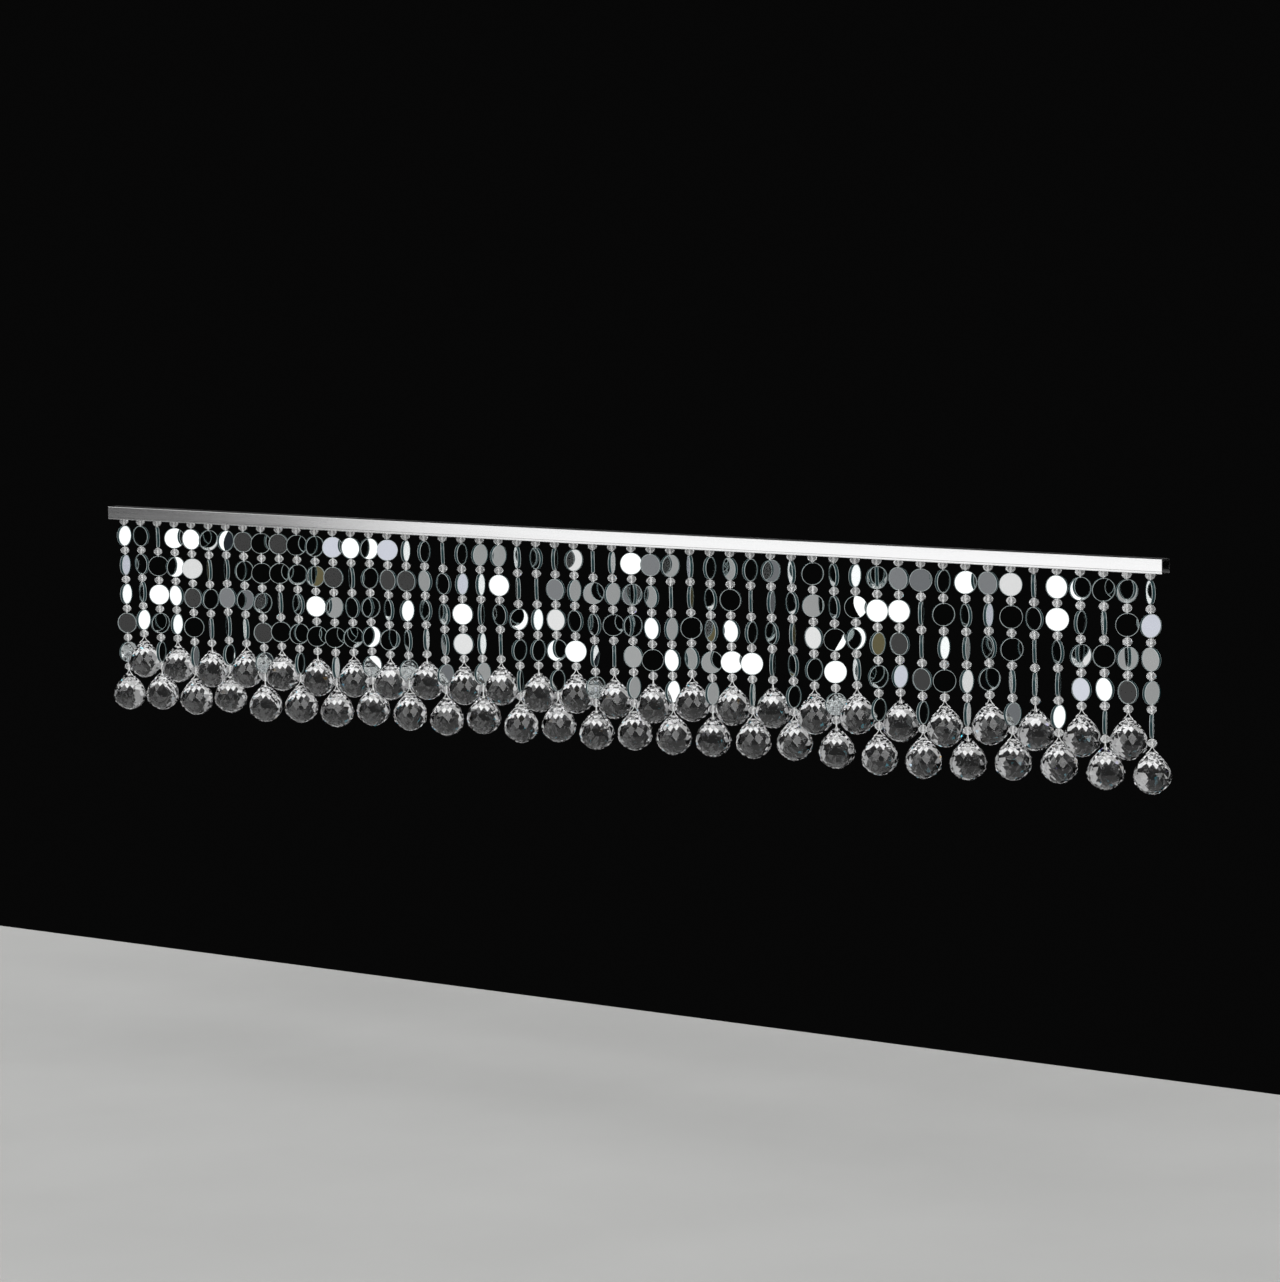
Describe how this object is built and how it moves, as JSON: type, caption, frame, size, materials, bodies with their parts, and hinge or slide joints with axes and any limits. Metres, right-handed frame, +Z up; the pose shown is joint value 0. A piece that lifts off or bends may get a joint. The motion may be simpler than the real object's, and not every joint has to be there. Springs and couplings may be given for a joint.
{
  "type": "crystal toran with rail",
  "caption": "Straight channel rail with a row of hanging strands of round mirrors and faceted beads, by turns long and short, each ending in a faceted crystal ball.",
  "frame": {"origin": "middle of the rail's top face", "axes": "+X along the rail, -Y towards the front, +Z up"},
  "size_m": [1.1267, 0.03, 0.1844],
  "materials": {
    "rail_metal": "satin anodised",
    "mirror_glass": "silvered glass, polished",
    "clear_crystal": "clear, cut and polished",
    "white_thread": "waxed white thread"
  },
  "bodies": {
    "root": {"rail": "rail_metal", "strands_left": "mirror_glass", "strands_right": "mirror_glass", "ball_01": "clear_crystal", "ball_02": "clear_crystal", "ball_03": "clear_crystal", "ball_04": "clear_crystal", "ball_05": "clear_crystal", "ball_06": "clear_crystal", "ball_07": "clear_crystal", "ball_08": "clear_crystal", "ball_09": "clear_crystal", "ball_10": "clear_crystal", "ball_11": "clear_crystal", "ball_12": "clear_crystal", "ball_13": "clear_crystal", "ball_14": "clear_crystal", "ball_15": "clear_crystal", "ball_16": "clear_crystal", "ball_17": "clear_crystal", "ball_18": "clear_crystal", "ball_19": "clear_crystal", "ball_20": "clear_crystal", "ball_21": "clear_crystal", "ball_22": "clear_crystal", "ball_23": "clear_crystal", "ball_24": "clear_crystal", "ball_25": "clear_crystal", "ball_26": "clear_crystal", "ball_27": "clear_crystal", "ball_28": "clear_crystal", "ball_29": "clear_crystal", "ball_30": "clear_crystal", "ball_31": "clear_crystal", "ball_32": "clear_crystal", "ball_33": "clear_crystal", "ball_34": "clear_crystal", "ball_35": "clear_crystal", "ball_36": "clear_crystal", "ball_37": "clear_crystal", "ball_38": "clear_crystal", "ball_39": "clear_crystal", "ball_40": "clear_crystal", "ball_41": "clear_crystal", "ball_42": "clear_crystal", "ball_43": "clear_crystal", "ball_44": "clear_crystal", "ball_45": "clear_crystal", "ball_46": "clear_crystal", "ball_47": "clear_crystal", "ball_48": "clear_crystal", "ball_49": "clear_crystal", "ball_50": "clear_crystal", "ball_51": "clear_crystal", "ball_52": "clear_crystal", "ball_53": "clear_crystal"}
  },
  "joints": []
}
